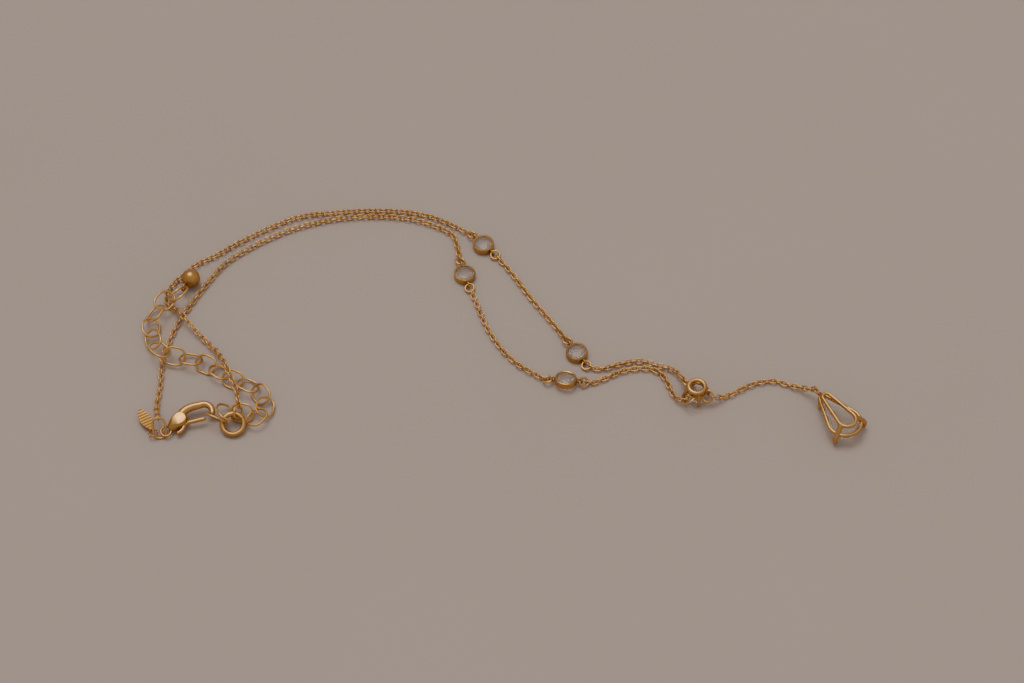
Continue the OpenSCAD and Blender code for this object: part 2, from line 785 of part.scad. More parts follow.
chain_outer_back();
chain_outer_middle();
chain_outer_front();
chain_inner_back();
chain_inner_middle();
chain_inner_front();
drop_chain();
for (i = STATIONS) {
    station(i);
    station_stone(i);
}
for (r = STATION_RINGS)
    station_ring(r);
centre_setting();
centre_stone();
centre_ring(0);  // centre_ring_outer
centre_ring(1);  // centre_ring_inner
centre_ring(2);  // centre_ring_drop
drop_setting();
drop_stone();
clasp_body();
clasp_lever();
clasp_ring();
clasp_tag();
extender_chain();
end_ball();
ball_ring();
end_ring();
end_ring_link();
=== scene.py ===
"""Looks of a Y necklace that lies on a pale surface: gold-plated brass, clear faceted stones."""
import math

import bmesh
import bpy
from mathutils import Matrix, Vector


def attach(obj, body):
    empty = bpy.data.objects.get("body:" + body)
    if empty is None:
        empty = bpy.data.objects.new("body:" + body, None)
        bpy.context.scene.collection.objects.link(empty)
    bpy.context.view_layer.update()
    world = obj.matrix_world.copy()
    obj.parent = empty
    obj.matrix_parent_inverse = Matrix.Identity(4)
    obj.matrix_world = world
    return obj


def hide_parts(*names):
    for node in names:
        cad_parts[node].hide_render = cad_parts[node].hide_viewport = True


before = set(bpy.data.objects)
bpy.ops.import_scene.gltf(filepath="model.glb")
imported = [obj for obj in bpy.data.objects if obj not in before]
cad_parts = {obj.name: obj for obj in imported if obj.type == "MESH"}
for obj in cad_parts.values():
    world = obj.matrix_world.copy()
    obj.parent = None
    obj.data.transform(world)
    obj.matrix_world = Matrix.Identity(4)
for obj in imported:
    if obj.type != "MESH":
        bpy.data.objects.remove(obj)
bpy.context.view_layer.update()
MM = 0.001


# Back lengths of the chain: fine cable chain, each link a closed oval of drawn brass wire, plated
# after it was linked. Each link stands a quarter turn from the last. The CAD draws these two long
# lengths as smooth strands, so all of their links are set here along the same routes.
LINK_WIRE = 0.32
LINK_WIDTH = 0.7
LINK_PITCH = 1.2
LINK_PLAY = 0.15
LINK_LENGTH = LINK_PITCH + LINK_PLAY
CHAIN_Z = LINK_WIDTH / 2 + LINK_WIRE + 0.05
CURVE_STEPS = 8

OUTER_START = (-6.837, 25.342, 0.789)
OUTER_ROUTE = [
    (-13.2, 29.2, 0), (-18.9, 31.1, 0), (-24.6, 31.8, 0), (-31.4, 31.8, 0), (-38.1, 31.2, 0),
    (-44.9, 30.1, 0), (-51.5, 26.9, 0), (-58.0, 22.8, 0), (-63.4, 18.8, 0), (-67.4, 16.3, 0),
    (-70.0, 13.4, 0), (-71.8, 11.2, 0), (-73.0, 9.2, 0), (-73.4, 7.4, 0), (-72.9, 5.5, 0),
    (-71.7, 4.0, 0.2), (-70.4, 2.5, 1.3), (-69.2, 1.0, 1.6), (-67.6, -0.9, 1.3), (-65.6, -3.1, 0.6),
    (-63.0, -5.9, 0.3), (-60.9, -8.8, 1.1), (-59.4, -11.9, 2.3), (-57.9, -15.2, 2.5),
    (-56.6, -18.2, 2.3), (-55.9, -20.6, 2.3), (-55.6, -22.2, 2.7),
]
OUTER_END = (-55.293, -23.676, 2.966)
OUTER_END_WIRES = (0.48, 0.48)
OUTER_END_ROLLS = (-75.31, 32.87)
INNER_START = (-8.744, 18.229, 0.689)
INNER_ROUTE = [
    (-9.4, 22.3, 0), (-10.5, 25.1, 0), (-14.3, 27.4, 0), (-18.9, 29.2, 0), (-24.6, 30.1, 0),
    (-31.3, 30.1, 0), (-38.1, 29.2, 0), (-44.7, 27.2, 0), (-50.2, 24.6, 0), (-55.7, 21.1, 0),
    (-61.0, 16.6, 0), (-65.0, 10.4, 0), (-67.6, 5.6, 0), (-69.5, 1.8, 0), (-70.8, -1.5, 0),
    (-72.0, -5.6, 0), (-72.9, -8.8, 0), (-72.9, -13.9, 0), (-73.0, -19.0, 0),
    (-73.2, -22.5, 0.3), (-72.8, -25.0, 1.4),
]
INNER_END = (-72.320, -27.118, 3.376)
INNER_END_WIRES = (0.48, 0.5)
INNER_END_ROLLS = (-76.76, 88.39)
LINK_BEND_STEPS = 7
LINK_SIDES = 8


def linear(hex_colour):
    """Linear colour of an sRGB hex code."""
    parts = [int(hex_colour[i:i + 2], 16) / 255 for i in (1, 3, 5)]
    return [p / 12.92 if p <= 0.04045 else ((p + 0.055) / 1.055) ** 2.4 for p in parts] + [1.0]


def add(tree, kind, values=None, **settings):
    """A shader node with its settings and the values of its sockets."""
    node = tree.nodes.new(kind)
    for key, value in settings.items():
        setattr(node, key, value)
    for key, value in (values or {}).items():
        node.inputs[key].default_value = value
    return node


def plated_gold(name, bright, deep, roughness, spot_mm, mark_mm, mark_depth_mm):
    """Polished gold plating: slow change of tone, duller rubbed spots and fine handling marks."""
    material = bpy.data.materials.new(name)
    material.use_nodes = True
    tree = material.node_tree
    link = tree.links.new
    shader = tree.nodes["Principled BSDF"]
    shader.inputs["Metallic"].default_value = 1.0
    shader.inputs["Base Color"].default_value = linear(bright)
    shader.inputs["Roughness"].default_value = roughness
    place = add(tree, "ShaderNodeTexCoord")
    tone = add(tree, "ShaderNodeTexNoise", {"Scale": 1 / (spot_mm * 3 * MM), "Detail": 2.0})
    colour = add(tree, "ShaderNodeMix", data_type="RGBA")
    colour.inputs[6].default_value = linear(bright)
    colour.inputs[7].default_value = linear(deep)
    tone_range = add(tree, "ShaderNodeMapRange", {"From Min": 0.35, "From Max": 0.68})
    rubbed = add(tree, "ShaderNodeTexNoise", {"Scale": 1 / (spot_mm * MM), "Detail": 4.0})
    dull = add(tree, "ShaderNodeMapRange", {
        "From Min": 0.4, "From Max": 0.7, "To Min": roughness, "To Max": roughness + 0.14})
    stretch = add(tree, "ShaderNodeMapping", {"Scale": (1.0, 5.0, 1.0), "Rotation": (0.4, 0.2, 0.7)})
    marks = add(tree, "ShaderNodeTexNoise", {"Scale": 1 / (mark_mm * MM), "Detail": 6.0, "Roughness": 0.6})
    bump = add(tree, "ShaderNodeBump", {"Strength": 0.35, "Distance": mark_depth_mm * MM})
    link(place.outputs["Object"], tone.inputs["Vector"])
    link(tone.outputs["Fac"], tone_range.inputs["Value"])
    link(tone_range.outputs["Result"], colour.inputs[0])
    link(colour.outputs[2], shader.inputs["Base Color"])
    link(place.outputs["Object"], rubbed.inputs["Vector"])
    link(rubbed.outputs["Fac"], dull.inputs["Value"])
    link(dull.outputs["Result"], shader.inputs["Roughness"])
    link(place.outputs["Object"], stretch.inputs["Vector"])
    link(stretch.outputs["Vector"], marks.inputs["Vector"])
    link(marks.outputs["Fac"], bump.inputs["Height"])
    link(bump.outputs["Normal"], shader.inputs["Normal"])
    return material


def sweep(bm, path, widths, across, sides, loop=False):
    """Round sections set square to a path, bridged one to the next; open ends are filled."""
    count = len(path)
    rings = []
    for i, point in enumerate(path):
        if loop:
            way = path[(i + 1) % count] - path[i - 1]
        else:
            way = path[min(i + 1, count - 1)] - path[max(i - 1, 0)]
        way = way.normalized()
        side = way.cross(Vector(across)).normalized()
        turn = Matrix((side, way.cross(side), way)).transposed().to_4x4()
        made = bmesh.ops.create_circle(
            bm, cap_ends=False, radius=widths[i] / 2, segments=sides,
            matrix=Matrix.Translation(point) @ turn)
        rings.append(list({edge for vert in made["verts"] for edge in vert.link_edges}))
    for i in range(count if loop else count - 1):
        bmesh.ops.bridge_loops(bm, edges=rings[i] + rings[(i + 1) % count])
    if not loop:
        bmesh.ops.edgeloop_fill(bm, edges=rings[0])
        bmesh.ops.edgeloop_fill(bm, edges=rings[-1])
    bmesh.ops.recalc_face_normals(bm, faces=bm.faces)


def put(place, yaw=0, tip=0, roll=0):
    """Matrix of a place in mm, turned about Z, tipped up along its own X and rolled about it."""
    return (Matrix.Translation(Vector(place)) @ Matrix.Rotation(math.radians(yaw), 4, "Z")
            @ Matrix.Rotation(math.radians(-tip), 4, "Y") @ Matrix.Rotation(math.radians(roll), 4, "X"))


def piece(name, bm, material, body, replaced, smooth=True):
    """A finished piece from a mesh in mm: its object, material, body and what it stands for."""
    bmesh.ops.scale(bm, vec=(MM, MM, MM), verts=bm.verts)
    mesh = bpy.data.meshes.new(name)
    bm.to_mesh(mesh)
    bm.free()
    for polygon in mesh.polygons:
        polygon.use_smooth = smooth
    mesh.materials.append(material)
    thing = bpy.data.objects.new(name, mesh)
    bpy.context.scene.collection.objects.link(thing)
    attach(thing, body)
    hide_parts(replaced)
    return thing


def curve(points):
    """A smooth path through a few points."""
    path = []
    last = len(points) - 1
    for i in range(last):
        a, b = points[max(i - 1, 0)], points[i]
        c, d = points[i + 1], points[min(i + 2, last)]
        for k in range(CURVE_STEPS):
            t = k / CURVE_STEPS
            path.append(0.5 * (2 * b + (c - a) * t + (2 * a - 5 * b + 4 * c - d) * t ** 2
                               + (3 * b - a - 3 * c + d) * t ** 3))
    return path + [points[last]]


def lengths(path):
    """Length of a path up to each of its points."""
    runs = [0.0]
    for a, b in zip(path, path[1:]):
        runs.append(runs[-1] + (b - a).length)
    return runs


def along(path, runs, s):
    """The point at a length along a path, past its ends too."""
    i = next((k for k in range(len(runs) - 1) if runs[k + 1] >= s), len(runs) - 2)
    return path[i].lerp(path[i + 1], (s - runs[i]) / (runs[i + 1] - runs[i]))


def oval_path(length, width, wire, steps):
    """Middle line of an oval link, its long way along X."""
    straight = (length - width) / 2
    bend = (width + wire) / 2
    path = []
    for k in range(steps + 1):
        turn = math.pi * k / steps - math.pi / 2
        path.append(Vector((straight + bend * math.cos(turn), bend * math.sin(turn), 0)))
    return path + [Vector((-p.x, -p.y, 0)) for p in path]


def link_mesh(length, width, wire, steps, sides):
    """One closed link of round wire."""
    bm = bmesh.new()
    path = oval_path(length, width, wire, steps)
    sweep(bm, path, [wire] * len(path), (0, 0, 1), sides, loop=True)
    mesh = bpy.data.meshes.new("link")
    bm.to_mesh(mesh)
    bm.free()
    return mesh


def fine_chain(start, route, end, wires, rolls):
    """Fine links from the wire at one end of a route to the wire at its other end."""
    points = [Vector(start)] + [Vector(p) + Vector((0, 0, CHAIN_Z)) for p in route] + [Vector(end)]
    path = curve(points)
    runs = lengths(path)
    first = -wires[0] / 2 - LINK_PLAY
    last = runs[-1] + wires[1] / 2 + LINK_PLAY - LINK_LENGTH
    steps = round((last - first) / LINK_PITCH)
    turn = 90 + ((rolls[1] - rolls[0] - 90 * steps + 90) % 180 - 90) / steps
    single = link_mesh(LINK_LENGTH, LINK_WIDTH, LINK_WIRE, LINK_BEND_STEPS, LINK_SIDES)
    bm = bmesh.new()
    for i in range(steps + 1):
        s = first + (last - first) * i / steps
        a, b = along(path, runs, s), along(path, runs, s + LINK_LENGTH)
        way = b - a
        copy = single.copy()
        copy.transform(put((a + b) / 2, math.degrees(math.atan2(way.y, way.x)),
                           math.degrees(math.asin(way.z / way.length)), rolls[0] + i * turn))
        bm.from_mesh(copy)
        bpy.data.meshes.remove(copy)
    bpy.data.meshes.remove(single)
    return bm


chain_gold = plated_gold("polished_gold_plated_fine_chain", "#E5B671", "#CC9A56", 0.3, 1.6, 0.12, 0.012)
piece("chain_outer_back_links",
      fine_chain(OUTER_START, OUTER_ROUTE, OUTER_END, OUTER_END_WIRES, OUTER_END_ROLLS),
      chain_gold, "necklace", "chain_outer_back")
piece("chain_inner_back_links",
      fine_chain(INNER_START, INNER_ROUTE, INNER_END, INNER_END_WIRES, INNER_END_ROLLS),
      chain_gold, "necklace", "chain_inner_back")


# Short lengths of the same fine chain, between the stations, on to the centre and down to the drop.
# The CAD holds their real links, which only need the plated wire's finish.
def plate(names, material):
    """Lays a plating on pieces that keep their CAD form."""
    for name in names:
        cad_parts[name].data.materials.clear()
        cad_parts[name].data.materials.append(material)


plate(["chain_outer_middle", "chain_outer_front", "chain_inner_middle", "chain_inner_front", "drop_chain"],
      chain_gold)


# Jump rings and soldered oval rings: bent from round brass wire, closed and plated. Their wire is
# thicker than the chain's, so its polish shows longer highlights and a few rubbed spots.
wire_gold = plated_gold("polished_gold_plated_wire", "#E4B46C", "#CA9852", 0.28, 1.2, 0.15, 0.012)
plate([f"station_ring_{i}" for i in range(1, 9)], wire_gold)
plate(["centre_ring_outer", "centre_ring_inner", "centre_ring_drop"], wire_gold)
plate(["clasp_ring", "extender_chain", "ball_ring", "end_ring_link"], wire_gold)


# Stations: turned brass rims, open behind, whose lip is rolled in over the stone, with an eye
# soldered at each side. Plated and polished with the chain.
setting_gold = plated_gold("polished_gold_plated_setting", "#D6A562", "#B98A4A", 0.24, 1.8, 0.2, 0.01)
plate([f"station_{i}" for i in range(1, 5)], setting_gold)


# Station stones: clear round cut stones with a wide table and a shallow underside, held by the lip.
STATION_PLACES = [
    ((-3.4, 21.9), -49, 3), ((-7.5, 13.5), -75, -3), ((17.1, -8.1), -58, 2), ((14.6, -15.7), -5, -14)]
STATION_H = 1.5
STATION_D = 4.8
STATION_STONE_D = 4.2
STATION_CROWN = 0.32
STATION_GIRDLE = 0.14
STATION_UNDER = 0.8
STATION_TABLE = 0.56
STATION_POINT = 0.4
LIP_DEPTH = 0.45
CRYSTAL = "#FFF6EE"
CRYSTAL_TINT = "#F6E6DA"


def cut_stone(name, clear, tint, roughness):
    """Clear cut stone: faint tint in clouds, polish that changes a little and very fine marks."""
    material = bpy.data.materials.new(name)
    material.use_nodes = True
    tree = material.node_tree
    link = tree.links.new
    shader = tree.nodes["Principled BSDF"]
    shader.inputs["Transmission Weight"].default_value = 0.78
    shader.inputs["IOR"].default_value = 1.45
    shader.inputs["Base Color"].default_value = linear(clear)
    shader.inputs["Alpha"].default_value = 0.5
    shader.inputs["Roughness"].default_value = roughness
    place = add(tree, "ShaderNodeTexCoord")
    cloud = add(tree, "ShaderNodeTexNoise", {"Scale": 1 / (2.5 * MM), "Detail": 2.0})
    colour = add(tree, "ShaderNodeMix", data_type="RGBA")
    colour.inputs[6].default_value = linear(clear)
    colour.inputs[7].default_value = linear(tint)
    polish = add(tree, "ShaderNodeMapRange", {
        "From Min": 0.3, "From Max": 0.75, "To Min": roughness, "To Max": roughness + 0.02})
    marks = add(tree, "ShaderNodeTexNoise", {"Scale": 1 / (0.4 * MM), "Detail": 5.0})
    bump = add(tree, "ShaderNodeBump", {"Strength": 0.05, "Distance": 0.003 * MM})
    link(place.outputs["Object"], cloud.inputs["Vector"])
    link(cloud.outputs["Fac"], colour.inputs[0])
    link(colour.outputs[2], shader.inputs["Base Color"])
    link(cloud.outputs["Fac"], polish.inputs["Value"])
    link(polish.outputs["Result"], shader.inputs["Roughness"])
    link(place.outputs["Object"], marks.inputs["Vector"])
    link(marks.outputs["Fac"], bump.inputs["Height"])
    link(bump.outputs["Normal"], shader.inputs["Normal"])
    return material


def brilliant(diameter, crown, girdle, under, table, point):
    """A round brilliant in mm, table up: table, star and kite facets, girdle and underside."""
    bm = bmesh.new()
    r = diameter / 2
    top = girdle / 2

    def ring(radius, z, count, start):
        for k in range(count):
            turn = math.radians(start + 360 * k / count)
            bm.verts.new((radius * math.cos(turn), radius * math.sin(turn), z))

    ring(r * table, top + crown, 8, 0)
    ring(r * (1 + table) / 2 * 1.02, top + crown * 0.54, 8, 22.5)
    ring(r, top, 16, 0)
    ring(r, -top, 16, 0)
    ring(r * max(point, 0.05), -top - under, 8, 22.5)
    ring(r * (0.55 + point * 0.45), -top - under * 0.47, 8, 0)
    bmesh.ops.convex_hull(bm, input=bm.verts)
    bmesh.ops.dissolve_limit(bm, angle_limit=math.radians(1), verts=bm.verts, edges=bm.edges)
    bmesh.ops.recalc_face_normals(bm, faces=bm.faces)
    return bm


clear_stone = cut_stone("clear_cut_stone", CRYSTAL, CRYSTAL_TINT, 0.0)
for i, (at, yaw, lean) in enumerate(STATION_PLACES, start=1):
    tilt = math.radians(lean)
    z = STATION_H / 2 * math.cos(tilt) + STATION_D / 2 * abs(math.sin(tilt))
    stone = brilliant(STATION_STONE_D, STATION_CROWN, STATION_GIRDLE, STATION_UNDER, STATION_TABLE,
                      STATION_POINT)
    stone.transform(put((*at, z), yaw, 0, lean) @ Matrix.Translation((0, 0, STATION_H / 2 - LIP_DEPTH)))
    piece(f"station_stone_{i}_cut", stone, clear_stone, "necklace",
          f"station_stone_{i}", smooth=False)


# Centre setting: two round wire rails and four claws of brass, cast as one and plated. It lies face
# down on its claws, whose ends are filed round and pushed in over the stone.
CENTRE_AT = (42.6, -19.3)
CENTRE_TURN = 10
CENTRE_H = 4.35
CENTRE_STONE_D = 4.6
BASE_D = 3.5
BASE_WIRE = 1
WAIST_D = 4.1
WAIST_WIRE = 0.6
WAIST_SHARE = 0.53
CENTRE_CLAW_WIRE = 0.75
CENTRE_CLAW_BEND_Z = 1.25
CLAW_GAP = 0.1
CLAW_LEAN = 0.2
CLAW_STEPS = 8
ROD_ENDS = [(0, 0.35), (0.06, 0.62), (0.16, 0.86), (0.3, 0.98), (0.45, 1)]


def join(bm, other):
    """Adds another form to a form."""
    mesh = bpy.data.meshes.new("join")
    other.to_mesh(mesh)
    other.free()
    bm.from_mesh(mesh)
    bpy.data.meshes.remove(mesh)


def wire_loop(bm, path, wire, sides, place):
    """A closed loop of round wire set in its place."""
    part = bmesh.new()
    sweep(part, path, [wire] * len(path), (0, 0, 1), sides, loop=True)
    part.transform(place)
    join(bm, part)


def circle_path(diameter, steps):
    """Middle line of a round ring."""
    return [Vector((diameter / 2 * math.cos(2 * math.pi * k / steps),
                    diameter / 2 * math.sin(2 * math.pi * k / steps), 0)) for k in range(steps)]


def rod(bm, points, widths, across, steps, sides, place):
    """A bent rod with round ends through a few points, set in its place."""
    path = curve([Vector(p) for p in points])
    runs = lengths(path)
    total = runs[-1]
    inset = ROD_ENDS[-1][0]
    stops = [(e * widths[0], w) for e, w in ROD_ENDS]
    low, high = inset * widths[0], total - inset * widths[1]
    stops += [(low + (high - low) * i / steps, 1) for i in range(1, steps)]
    stops += [(total - e * widths[1], w) for e, w in reversed(ROD_ENDS)]
    part = bmesh.new()
    sweep(part, [along(path, runs, s) for s, _ in stops],
          [(widths[0] + (widths[1] - widths[0]) * s / total) * w for s, w in stops], across, sides)
    part.transform(place)
    join(bm, part)


centre_place = put((*CENTRE_AT, 0), CENTRE_TURN)
setting = bmesh.new()
base_z = CENTRE_H - BASE_WIRE / 2
wire_loop(setting, circle_path(BASE_D, 40), BASE_WIRE, 16, centre_place @ Matrix.Translation((0, 0, base_z)))
wire_loop(setting, circle_path(WAIST_D, 48), WAIST_WIRE, 14,
          centre_place @ Matrix.Translation((0, 0, CENTRE_H * WAIST_SHARE)))
claw_edge = CENTRE_STONE_D / 2 + CLAW_GAP + CENTRE_CLAW_WIRE / 2
for i in range(4):
    rod(setting, [(BASE_D / 2, 0, base_z), (claw_edge, 0, CENTRE_CLAW_BEND_Z),
                  (claw_edge - CLAW_LEAN, 0, CENTRE_CLAW_WIRE / 2)],
        (CENTRE_CLAW_WIRE, CENTRE_CLAW_WIRE), (0, 1, 0), CLAW_STEPS, 14,
        centre_place @ Matrix.Rotation(math.radians(90 * i), 4, "Z"))
piece("centre_setting_cast", setting, setting_gold, "necklace", "centre_setting")


# Centre stone: a clear round brilliant, table down because the setting lies on its face. It is cut from
# the same stone as the stations', and the claws' bent ends hold it at its girdle.
CENTRE_CROWN = 0.6
CENTRE_GIRDLE = 0.12
CENTRE_UNDER = 1.3
CENTRE_TABLE = 0.58
CENTRE_POINT = 0.04
CENTRE_GIRDLE_Z = 1.05
stone = brilliant(CENTRE_STONE_D, CENTRE_CROWN, CENTRE_GIRDLE, CENTRE_UNDER, CENTRE_TABLE, CENTRE_POINT)
stone.transform(put((*CENTRE_AT, CENTRE_GIRDLE_Z), CENTRE_TURN) @ Matrix.Rotation(math.pi, 4, "X"))
piece("centre_stone_cut", stone, clear_stone, "necklace", "centre_stone", smooth=False)


# Pear drop's setting: two pear-shaped wire rails, two claws at the round end and two at the tip, and
# an eye soldered across the tip. Cast in brass, plated, and lying on its claws.
DROP_AT = (73.7, -27.9)
DROP_TURN = 124
DROP_H = 5.1
PEAR_ROUND = 3.65
PEAR_TIP = 7.65
SETTING_TIP = PEAR_TIP + 0.45
RAIL_TIP_R = 0.9
RAIL_WIRE = 0.8
CLAW_WIRE = 1.15
BASE_ROUND = 1.95
BASE_BACK = 0.5
BASE_SHORT = 0.8
RAIL_SHARE = 0.59
RAIL_LESS = 0.1
CLAW_BEND_Z = 2.3
CLAW_SPREAD = 117
TIP_CLAW_WIRE = 0.7
TIP_CLAW_BACK = 1.1
TIP_CLAW_SPREAD = 1.1
EYE_HOLE = 1.3
EYE_WIRE = 0.45
EYE_ROLL = 40
EYE_LIFT = 0.1
DROP_EYE_REACH = SETTING_TIP + EYE_HOLE / 2 + 0.65


def pear_path(round_r, tip, tip_r, round_steps, tip_steps):
    """Middle line of a pear-shaped rail: an arc, two straight sides and a small arc at the tip."""
    middle = tip - tip_r
    half = math.asin((round_r - tip_r) / middle)
    path = []
    for i in range(round_steps + 1):
        turn = math.pi / 2 - half + (math.pi + 2 * half) * i / round_steps
        path.append(Vector((round_r * math.cos(turn), round_r * math.sin(turn), 0)))
    for i in range(1, 4):
        path.append(path[round_steps].lerp(Vector((middle + tip_r * math.sin(half),
                                                   -tip_r * math.cos(half), 0)), i / 4))
    for i in range(tip_steps + 1):
        turn = half - math.pi / 2 + (math.pi - 2 * half) * i / tip_steps
        path.append(Vector((middle + tip_r * math.cos(turn), tip_r * math.sin(turn), 0)))
    for i in range(1, 4):
        path.append(path[round_steps + 4 + tip_steps].lerp(path[0], i / 4))
    return path


drop_place = put((*DROP_AT, 0), DROP_TURN)
setting = bmesh.new()
rail_z = DROP_H * RAIL_SHARE
base_z = DROP_H - RAIL_WIRE / 2
base_path = pear_path(BASE_ROUND, SETTING_TIP - BASE_SHORT + BASE_BACK, RAIL_TIP_R, 28, 10)
wire_loop(setting, base_path, RAIL_WIRE, 16, drop_place @ Matrix.Translation((-BASE_BACK, 0, base_z)))
wire_loop(setting, pear_path(PEAR_ROUND - RAIL_LESS, SETTING_TIP, RAIL_TIP_R, 28, 10), RAIL_WIRE, 16,
          drop_place @ Matrix.Translation((0, 0, rail_z)))
claw_edge = PEAR_ROUND + CLAW_GAP + CLAW_WIRE / 2
for side in (-1, 1):
    rod(setting, [(BASE_ROUND, 0, base_z), (claw_edge, 0, CLAW_BEND_Z),
                  (claw_edge - CLAW_LEAN, 0, CLAW_WIRE / 2)],
        (CLAW_WIRE, CLAW_WIRE), (0, 1, 0), CLAW_STEPS, 16,
        drop_place @ Matrix.Rotation(math.radians(CLAW_SPREAD * side), 4, "Z"))
    rod(setting, [(SETTING_TIP - BASE_SHORT, 0, base_z), (SETTING_TIP, 0, rail_z - 0.2),
                  (SETTING_TIP - TIP_CLAW_BACK, side * TIP_CLAW_SPREAD, TIP_CLAW_WIRE / 2)],
        (TIP_CLAW_WIRE, TIP_CLAW_WIRE), (0, 1, 0), CLAW_STEPS, 14, drop_place)
wire_loop(setting, circle_path(EYE_HOLE + EYE_WIRE, 28), EYE_WIRE, 12,
          drop_place @ put((DROP_EYE_REACH, 0, rail_z + EYE_LIFT), 0, 0, EYE_ROLL))
piece("drop_setting_cast", setting, setting_gold, "necklace", "drop_setting")


# Pear stone: a clear pear-shaped cut, table down, its underside drawn to a short keel. The claws' ends
# hold it at its girdle. Each ring is (share of the outline, height, facets, shift of the facets).
PEAR_RINGS = [
    (0.6, 0.45, 7, 0), (0.8, 1.02, 7, 0.5), (1.0, 1.85, 14, 0), (1.0, 1.95, 14, 0), (0.55, 3.38, 7, 0)]
KEEL_LENGTH = 1.5
KEEL_WIDTH = 0.2
KEEL_BELOW = 0.19


def pear_ring(bm, scale, z, count, shift):
    """A ring of points on the pear outline at a height; shift moves them between the facets."""
    half = math.asin(PEAR_ROUND / PEAR_TIP)
    if shift == 0:
        bm.verts.new((PEAR_TIP * scale, 0, z))
    for i in range(count + (0 if shift else 1)):
        turn = math.pi / 2 - half + (math.pi + 2 * half) * (i + shift) / count
        bm.verts.new((PEAR_ROUND * scale * math.cos(turn), PEAR_ROUND * scale * math.sin(turn), z))


stone = bmesh.new()
for ring in PEAR_RINGS:
    pear_ring(stone, *ring)
for x in (0, KEEL_LENGTH):
    for side in (-1, 1):
        stone.verts.new((x, side * KEEL_WIDTH / 2, DROP_H - KEEL_BELOW))
bmesh.ops.convex_hull(stone, input=stone.verts)
bmesh.ops.dissolve_limit(stone, angle_limit=math.radians(1), verts=stone.verts, edges=stone.edges)
bmesh.ops.recalc_face_normals(stone, faces=stone.faces)
stone.transform(drop_place)
piece("drop_stone_cut", stone, clear_stone, "necklace", "drop_stone", smooth=False)


# Clasp body: a lobster clasp cast in brass, a flat-sided bulb that runs out into a round hook, with its
# eye at the other end. A slot through the bulb holds the lever on a riveted pin.
CLASP_PLACE = put((-70.65, -29.05, 1.15), 29, 6, 8)
CLASP_T = 2.6
HOOK_AT = (8.9, 0)
HOOK_BEND = 1.95
PIN_AT = (4.4, -0.05)
PIN_D = 0.7
TONGUE_T = 0.9
TONGUE_D = 1.6
SLOT_PLAY = 0.1
PIN_SHORT = 0.1
PIN_PLAY = 0.1
EYE_OF_CLASP_D = 2.2
EYE_OF_CLASP_WIRE = 0.5
ARM_WIRES = (2.0, 1.25)
ARM = [(3.8, 1.6, 0), (5.6, 2.35, 0), (7.2, 2.4, 0)]
HOOK_TURNS = (90, 62, 34, 6, -22, -50)
BULB_TURN = 13
BULB = [(0, 0.75), (0.6, 0.8), (1.05, 1.5), (1.4, 2.2), (1.7, 3.1), (1.8, 4.0), (1.65, 4.8), (1.2, 5.3),
        (0, 5.6)]


def lathe(profile, steps, axis):
    """A closed form turned from a profile of (radius, place along X) points."""
    bm = bmesh.new()
    verts = [bm.verts.new((x, r, 0)) for r, x in profile]
    edges = [bm.edges.new(pair) for pair in zip(verts, verts[1:])]
    bmesh.ops.spin(bm, geom=verts + edges, cent=(0, 0, 0), axis=axis, dvec=(0, 0, 0),
                   angle=math.tau, steps=steps, use_merge=True)
    bmesh.ops.remove_doubles(bm, verts=bm.verts, dist=0.0001)
    bmesh.ops.recalc_face_normals(bm, faces=bm.faces)
    return bm


def cut(bm, cutters):
    """The form with other closed forms cut out of it."""
    def scratch(name, form):
        mesh = bpy.data.meshes.new(name)
        form.to_mesh(mesh)
        form.free()
        thing = bpy.data.objects.new(name, mesh)
        bpy.context.scene.collection.objects.link(thing)
        return thing

    base = scratch("cut_base", bm)
    tools = [scratch(f"cutter_{i}", form) for i, form in enumerate(cutters)]
    for tool in tools:
        step = base.modifiers.new("cut", "BOOLEAN")
        step.operation = "DIFFERENCE"
        step.solver = "EXACT"
        step.object = tool
    graph = bpy.context.evaluated_depsgraph_get()
    result = bmesh.new()
    result.from_mesh(base.evaluated_get(graph).to_mesh())
    for thing in [base] + tools:
        mesh = thing.data
        bpy.data.objects.remove(thing)
        bpy.data.meshes.remove(mesh)
    return result


def block(low, high):
    """A closed box between two corners."""
    bm = bmesh.new()
    size = [h - l for l, h in zip(low, high)]
    middle = [(h + l) / 2 for l, h in zip(low, high)]
    bmesh.ops.create_cube(bm, size=1, matrix=Matrix.Translation(middle) @ Matrix.Diagonal((*size, 1)))
    return bm


def disc(diameter, height, place, segments=32):
    """A closed upright cylinder, its middle at a place."""
    bm = bmesh.new()
    bmesh.ops.create_cone(bm, cap_ends=True, segments=segments, radius1=diameter / 2,
                          radius2=diameter / 2, depth=height, matrix=Matrix.Translation(place))
    return bm


def soften(bm, width, angle):
    """Rounds the edges that are sharper than an angle."""
    sharp = [e for e in bm.edges if len(e.link_faces) == 2 and e.calc_face_angle() > math.radians(angle)]
    bmesh.ops.bevel(bm, geom=sharp, offset=width, offset_type="OFFSET", affect="EDGES", segments=2,
                    profile=0.5, material=-1, clamp_overlap=True)


